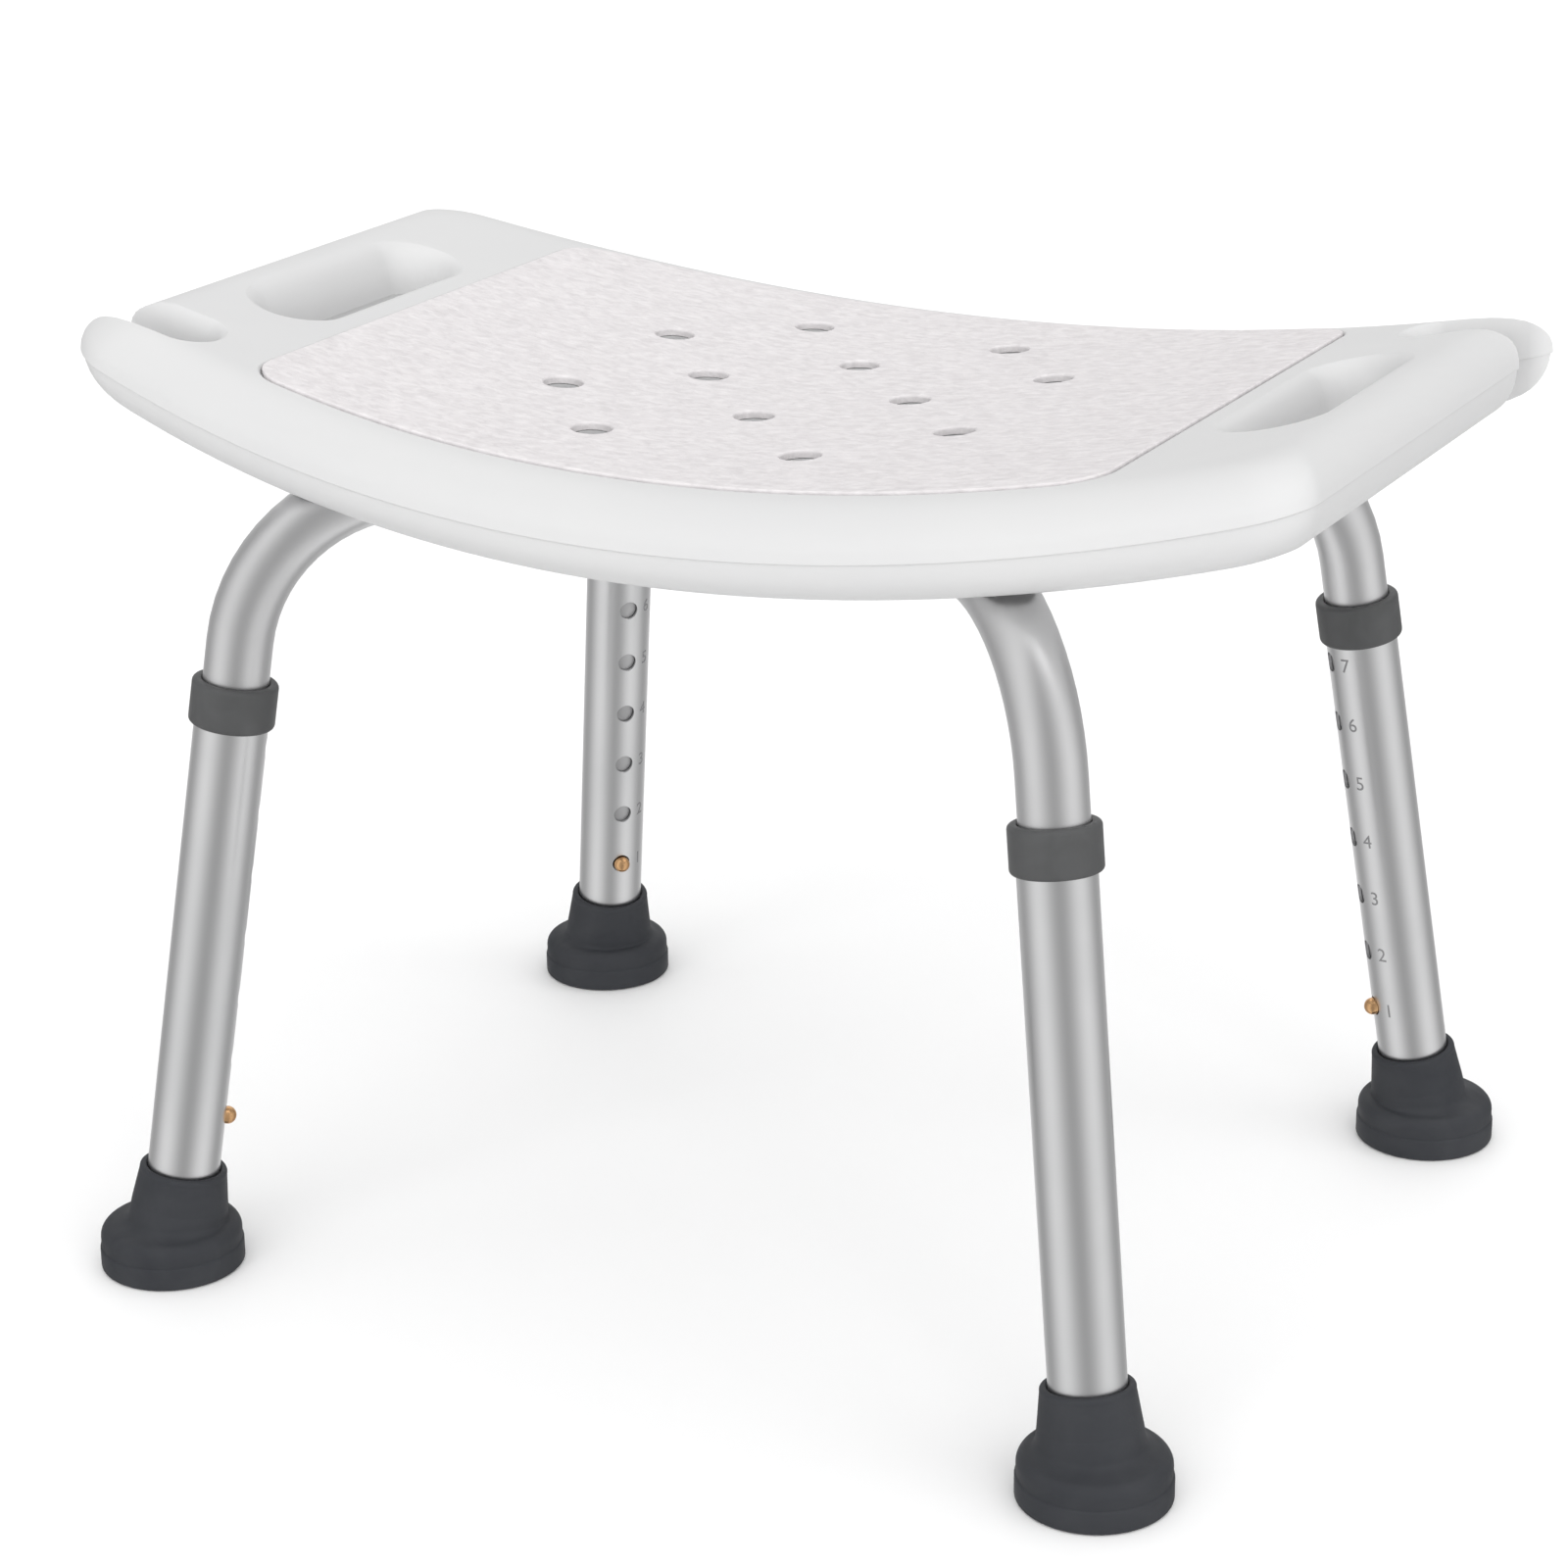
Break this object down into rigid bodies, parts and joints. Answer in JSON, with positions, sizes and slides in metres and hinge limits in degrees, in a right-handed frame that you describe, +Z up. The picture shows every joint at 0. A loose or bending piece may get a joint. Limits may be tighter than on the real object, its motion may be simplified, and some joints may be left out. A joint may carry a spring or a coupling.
{
  "type": "shower stool",
  "caption": "Backless shower stool with a dished seat, drain holes, hand slots, a foam pad and splayed telescopic legs locked by snap buttons.",
  "frame": {"origin": "on the floor, below the middle of the seat", "axes": "+X along the seat, -Y its front edge, +Z up"},
  "size_m": [0.5072, 0.3882, 0.3637],
  "materials": {
    "seat": "satin white blow-moulded polyethylene",
    "pad": "matt off-white foam sheet with a fine mottled skin",
    "upper_tube": "satin anodised",
    "leg_tube": "satin anodised, with small grey height numbers",
    "collar": "dark grey, finely grained",
    "foot": "charcoal rubber, matt",
    "button": "polished brass, copper tinted",
    "spring": "spring steel strip",
    "steel": "zinc plated",
    "washer": "dark grey nylon",
    "insert": "plain brass"
  },
  "bodies": {
    "frame": {"seat_shell": "seat", "seat_pad": "pad", "cross_tube_a": "upper_tube", "cross_tube_b": "upper_tube", "frame_screw_centre": "steel", "saddle_washer_centre": "washer", "seat_insert_centre": "insert", "frame_screw_fr": "steel", "saddle_washer_fr": "washer", "seat_insert_fr": "insert", "frame_screw_br": "steel", "saddle_washer_br": "washer", "seat_insert_br": "insert", "frame_screw_bl": "steel", "saddle_washer_bl": "washer", "seat_insert_bl": "insert", "frame_screw_fl": "steel", "saddle_washer_fl": "washer", "seat_insert_fl": "insert", "button_spring_fr": "spring", "button_spring_br": "spring", "button_spring_bl": "spring", "button_spring_fl": "spring"},
    "leg_fr": {"leg_tube_fr": "leg_tube", "collar_fr": "collar", "foot_fr": "foot", "foot_washer_fr": "steel"},
    "button_fr": {"snap_button_fr": "button"},
    "leg_br": {"leg_tube_br": "leg_tube", "collar_br": "collar", "foot_br": "foot", "foot_washer_br": "steel"},
    "button_br": {"snap_button_br": "button"},
    "leg_bl": {"leg_tube_bl": "leg_tube", "collar_bl": "collar", "foot_bl": "foot", "foot_washer_bl": "steel"},
    "button_bl": {"snap_button_bl": "button"},
    "leg_fl": {"leg_tube_fl": "leg_tube", "collar_fl": "collar", "foot_fl": "foot", "foot_washer_fl": "steel"},
    "button_fl": {"snap_button_fl": "button"}
  },
  "joints": [
    {"name": "leg_fr_slide", "type": "slide", "parent": "frame", "child": "leg_fr", "axis": [0.1224, -0.1027, -0.9871], "range_m": [0, 0.1524]},
    {"name": "button_fr_press", "type": "slide", "parent": "frame", "child": "button_fr", "axis": [0.7562, -0.6345, 0.1598], "range_m": [0, 0.006], "stiffness_N_per_m": 2500, "springref_m": -0.002, "deforming": ["button_spring_fr"]},
    {"name": "leg_br_slide", "type": "slide", "parent": "frame", "child": "leg_br", "axis": [0.1224, 0.1027, -0.9871], "range_m": [0, 0.1524]},
    {"name": "button_br_press", "type": "slide", "parent": "frame", "child": "button_br", "axis": [0.7562, 0.6345, 0.1598], "range_m": [0, 0.006], "stiffness_N_per_m": 2500, "springref_m": -0.002, "deforming": ["button_spring_br"]},
    {"name": "leg_bl_slide", "type": "slide", "parent": "frame", "child": "leg_bl", "axis": [-0.1224, 0.1027, -0.9871], "range_m": [0, 0.1524]},
    {"name": "button_bl_press", "type": "slide", "parent": "frame", "child": "button_bl", "axis": [-0.7562, 0.6345, 0.1598], "range_m": [0, 0.006], "stiffness_N_per_m": 2500, "springref_m": -0.002, "deforming": ["button_spring_bl"]},
    {"name": "leg_fl_slide", "type": "slide", "parent": "frame", "child": "leg_fl", "axis": [-0.1224, -0.1027, -0.9871], "range_m": [0, 0.1524]},
    {"name": "button_fl_press", "type": "slide", "parent": "frame", "child": "button_fl", "axis": [-0.7562, -0.6345, 0.1598], "range_m": [0, 0.006], "stiffness_N_per_m": 2500, "springref_m": -0.002, "deforming": ["button_spring_fl"]}
  ]
}
